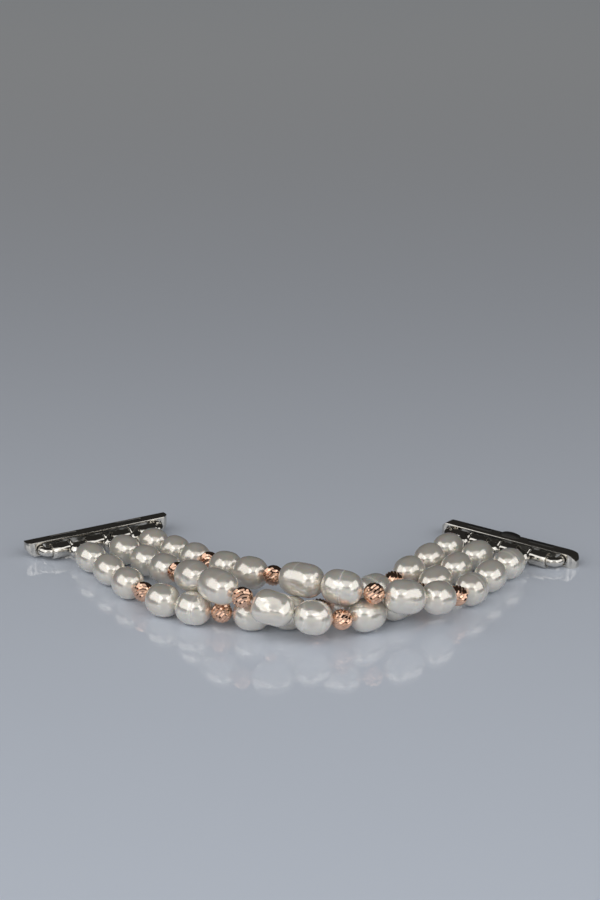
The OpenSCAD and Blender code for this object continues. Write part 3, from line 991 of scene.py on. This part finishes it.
def softened(node, width):
    """A copy of a CAD node with merged faces and broken edges"""
    piece = merged(node)
    bpy.ops.object.mode_set(mode="EDIT")
    bpy.ops.mesh.select_all(action="SELECT")
    bpy.ops.mesh.dissolve_limited(angle_limit=math.radians(FLAT_ANGLE))
    bpy.ops.object.mode_set(mode="OBJECT")
    bevel = piece.modifiers.new("edges", "BEVEL")
    bevel.width, bevel.segments = width, 2
    bevel.limit_method, bevel.angle_limit = "ANGLE", math.radians(EDGE_ANGLE)
    bevel.use_clamp_overlap = True
    bpy.ops.object.modifier_apply(modifier=bevel.name)
    smooth(piece, EDGE_ANGLE)
    return piece


class BAND_OT_steel(bpy.types.Operator):
    """Finishes the adapters, bars, spacers and knot covers"""

    bl_idname = "band.steel"
    bl_label = "Steel pieces"

    def execute(self, context):
        width = context.scene.band_metal.edge_width
        for side in SIDES:
            nodes = {f"{side}_adapter": f"{side}_adapter", f"{side}_bar": f"{side}_adapter"}
            for number in range(1, SPACER_COUNT + 1):
                nodes[f"{side}_spacer_{number}"] = f"{side}_spacer_{number}"
            for cord in CORDS:
                nodes[f"{side}_knot_cover_{cord}"] = f"{side}_hooks"
            for node, body in nodes.items():
                piece = softened(node, width)
                paint(piece, finish_of("pressed_steel" if "cover" in node else "polished_steel"))
                dress(piece, body, "polished_steel", node)
        return {"FINISHED"}


class BAND_OT_springs(bpy.types.Operator):
    """Finishes the detent springs"""

    bl_idname = "band.springs"
    bl_label = "Detent springs"

    def execute(self, context):
        for side in SIDES:
            node = f"{side}_detent_spring"
            piece = merged(node)
            smooth(piece, ROUND_ANGLE)
            paint(piece, finish_of("spring_steel"))
            dress(piece, f"{side}_adapter", "spring_steel", node)
            points = solids(node)[0]
            low, high = points.min(0), points.max(0)
            anchor = [*(low[:2] + high[:2]) / 2, high[2] if side == "left" else low[2]]
            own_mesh(piece)
        return {"FINISHED"}


class BAND_OT_black_pieces(bpy.types.Operator):
    """Finishes the black pads and buttons of the adapters"""

    bl_idname = "band.black_pieces"
    bl_label = "Pads and buttons"

    def execute(self, context):
        width = context.scene.band_metal.edge_width * PAD_EDGE_SHARE
        for side in SIDES:
            nodes = {f"{side}_grip_pads": f"{side}_adapter",
                     f"{side}_detent_button": f"{side}_detent"}
            for node, body in nodes.items():
                piece = softened(node, width)
                paint(piece, finish_of("black_rubber"))
                dress(piece, body, "black_rubber", node)
        return {"FINISHED"}


def add_table(settings):
    """A wide glossy table, painted from blue-grey in front to white far behind as shade and
    light, with a painted glow far behind that only the camera sees
    """
    bpy.ops.object.select_all(action="DESELECT")
    bpy.ops.mesh.primitive_plane_add(size=TABLE_SIZE, location=(0, 0, 0))
    table = bpy.context.active_object
    table.name = table.data.name = "table"
    tree = new_material("table")
    depth = tree.node("ShaderNodeSeparateXYZ", None, {"Vector": tree.place()}, output="Y")
    # Painted shade in front turning to painted light far behind, by depth
    middle = depth.above(*NEAR_TO_MIDDLE)
    colour = tree.mix(middle, settings.near_colour_with_shade, settings.middle_colour_with_shade)
    colour = tree.mix(depth.above(*MIDDLE_TO_FAR), colour, settings.far_colour_with_light)
    # Painted glow: light added to the far table for camera rays
    seen = tree.node("ShaderNodeLightPath", output="Is Camera Ray")
    painted_glow = tree.mix(seen * depth.above(*PAINTED_GLOW_RANGE), (0, 0, 0), settings.painted_glow_colour)
    paint(table, tree.surface(Base_Color=colour, Roughness=settings.table_roughness, IOR=1.55,
                              Emission_Color=painted_glow, Emission_Strength=1.0))


def add_world():
    """A dim room, darker in reflections and brighter where the camera sees it"""
    world = Tree(bpy.data.worlds.new("studio"))
    bpy.context.scene.world = world.owner
    mirrored = world.node("ShaderNodeLightPath", output="Is Glossy Ray")
    shade = world.mix(mirrored, WORLD_LIGHT, WORLD_MIRRORED)
    seen = world.node("ShaderNodeLightPath", output="Is Camera Ray")
    shade = world.mix(seen, shade, WORLD_SEEN)
    background = world.node("ShaderNodeBackground", None, {"Color": shade, "Strength": 1.0})
    world.node("ShaderNodeOutputWorld", None, {"Surface": background})


def add_lamp(name, power, azimuth, elevation, size):
    """A softbox seen from the band at an azimuth from the front and an elevation"""
    light = bpy.data.lights.new(name, "AREA")
    light.shape = "RECTANGLE"
    light.size, light.size_y = size
    light.energy = power
    item = add_object(name, light)
    a, e = math.radians(azimuth), math.radians(elevation)
    away = Vector((math.sin(a) * math.cos(e), -math.cos(a) * math.cos(e), math.sin(e)))
    turn = away.to_track_quat("Z", "Y").to_matrix().to_4x4()
    item.matrix_world = Matrix.Translation(away * LAMP_DISTANCE) @ turn
    item.visible_camera = False


def add_camera():
    camera = add_object("camera", bpy.data.cameras.new("camera"))
    camera.data.sensor_width = CAMERA_SENSOR
    camera.data.lens = CAMERA_LENS
    camera.data.clip_start = CAMERA_NEAREST
    camera.location = CAMERA_PLACE
    camera.rotation_euler = (math.radians(90 - CAMERA_DOWN), 0, 0)
    bpy.context.scene.camera = camera


class BAND_OT_stage(bpy.types.Operator):
    """Table, lamps, world and camera"""

    bl_idname = "band.stage"
    bl_label = "Stage"

    def execute(self, context):
        settings = context.scene.band_stage
        add_table(settings)
        add_world()
        for name, power, azimuth, elevation, size in LAMPS:
            add_lamp(name, getattr(settings, power), azimuth, elevation, size)
        add_camera()
        context.scene.view_settings.view_transform = "Standard"
        return {"FINISHED"}


class BAND_PT_panel(bpy.types.Panel):
    """Lists the band's pieces and their settings"""

    bl_label = "Pearl band"
    bl_space_type = "VIEW_3D"
    bl_region_type = "UI"
    bl_category = "Pearl band"

    def draw(self, context):
        for operator in OPERATORS:
            self.layout.operator(operator.bl_idname)
        for name, group in SETTINGS:
            box = self.layout.box()
            for setting in group.__annotations__:
                box.prop(getattr(context.scene, name), setting)


SETTINGS = (
    ("band_nacre", NacreSettings),
    ("band_metal", MetalSettings),
    ("band_cord", CordSettings),
    ("band_stage", StageSettings),
)
OPERATORS = (
    BAND_OT_pearls,
    BAND_OT_metal_beads,
    BAND_OT_cords,
    BAND_OT_steel,
    BAND_OT_springs,
    BAND_OT_black_pieces,
    BAND_OT_stage,
)


def register():
    for name, group in SETTINGS:
        bpy.utils.register_class(group)
        setattr(bpy.types.Scene, name, PointerProperty(type=group))
    for item in (*OPERATORS, BAND_PT_panel):
        bpy.utils.register_class(item)


def unregister():
    for item in (BAND_PT_panel, *reversed(OPERATORS)):
        bpy.utils.unregister_class(item)
    for name, group in reversed(SETTINGS):
        delattr(bpy.types.Scene, name)
        bpy.utils.unregister_class(group)


def main():
    """Makes every piece and the stage"""
    register()
    for operator in OPERATORS:
        group, name = operator.bl_idname.split(".")
        getattr(getattr(bpy.ops, group), name)()


if __name__ == "__main__":
    main()
